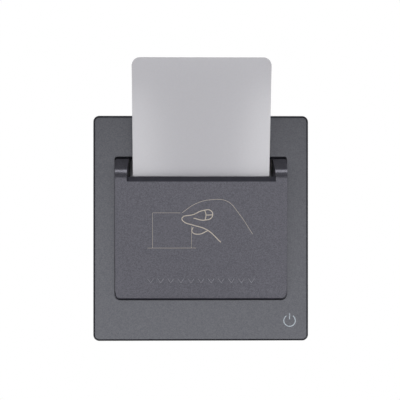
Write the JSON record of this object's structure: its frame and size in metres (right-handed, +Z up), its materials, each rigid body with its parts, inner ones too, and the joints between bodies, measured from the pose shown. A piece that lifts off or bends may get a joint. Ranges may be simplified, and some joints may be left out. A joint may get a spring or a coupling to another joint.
{
  "type": "key card switch",
  "caption": "Wall switch with a dark grey plate and a slanted pocket. A card pushed into its mouth holds down a sprung follower that works a lever switch.",
  "frame": {"origin": "midway between the two wall fixing slots, on the plane of the wall", "axes": "+X to the right seen from the front, +Y into the wall, +Z up; the front faces -Y"},
  "size_m": [0.086, 0.0474, 0.1114],
  "materials": {
    "plate": "satin metallic paint",
    "cover": "satin metallic paint",
    "card": "satin laminate",
    "frame": "moulded",
    "cradle": "moulded",
    "screws": "zinc plated",
    "spring_bronze": "rolled strip",
    "spring_steel": "drawn wire and strip",
    "follower": "moulded acetal",
    "switch_case": "moulded",
    "plunger": "moulded",
    "brass_pins": "tinned",
    "board": "solder mask",
    "led": "moulded",
    "clear_plastic": "polished",
    "housing": "moulded",
    "terminal": "moulded",
    "relay": "moulded",
    "film": "moulded",
    "can": "sleeved",
    "varistor": "dipped",
    "fuse": "moulded",
    "chip": "moulded",
    "resistor": "lacquered"
  },
  "bodies": {
    "base": {"front_plate": "plate", "pocket_cover": "cover", "mounting_frame": "frame", "card_cradle": "cradle", "cradle_screws": "screws", "grip_springs": "spring_bronze", "return_spring": "spring_steel", "switch_case": "switch_case", "lever_pin": "screws", "switch_pins": "brass_pins", "circuit_board": "board", "indicator_led": "led", "light_guide": "clear_plastic", "rear_housing": "housing", "housing_screws": "screws", "terminal_block": "terminal", "terminal_screws": "screws", "terminal_clamps": "brass_pins", "relay": "relay", "film_capacitor": "film", "electrolytic_capacitor": "can", "varistor": "varistor", "fuse": "fuse", "bridge_rectifier": "chip", "timer_chip": "chip", "power_resistor": "resistor", "relay_driver": "chip"},
    "follower": {"card_follower": "follower"},
    "card": {"key_card": "card"},
    "lever": {"switch_lever": "spring_steel"},
    "plunger": {"switch_plunger": "plunger"}
  },
  "joints": [
    {"name": "follower_slide", "type": "slide", "parent": "base", "child": "follower", "axis": [0, -0.2588, 0.9659], "range_m": [0, 0.003], "stiffness_N_per_m": 6, "springref_m": 0.0047, "deforming": ["return_spring"]},
    {"name": "card_slide", "type": "slide", "parent": "follower", "child": "card", "axis": [0, -0.2588, 0.9659], "range_m": [0, 0.05]},
    {"name": "lever_swing", "type": "hinge", "parent": "base", "child": "lever", "pos_m": [-0.017, -0.0029, -0.02237], "axis": [0, -1, 0], "range_deg": [0, 13]},
    {"name": "plunger_travel", "type": "slide", "parent": "base", "child": "plunger", "axis": [0, 0, 1], "range_m": [0, 0.00065]}
  ],
  "couplings": [
    {"joint": "lever_swing", "follows": "follower_slide", "rad_per_m": 75.63},
    {"joint": "plunger_travel", "follows": "follower_slide", "ratio": 0.2166}
  ]
}
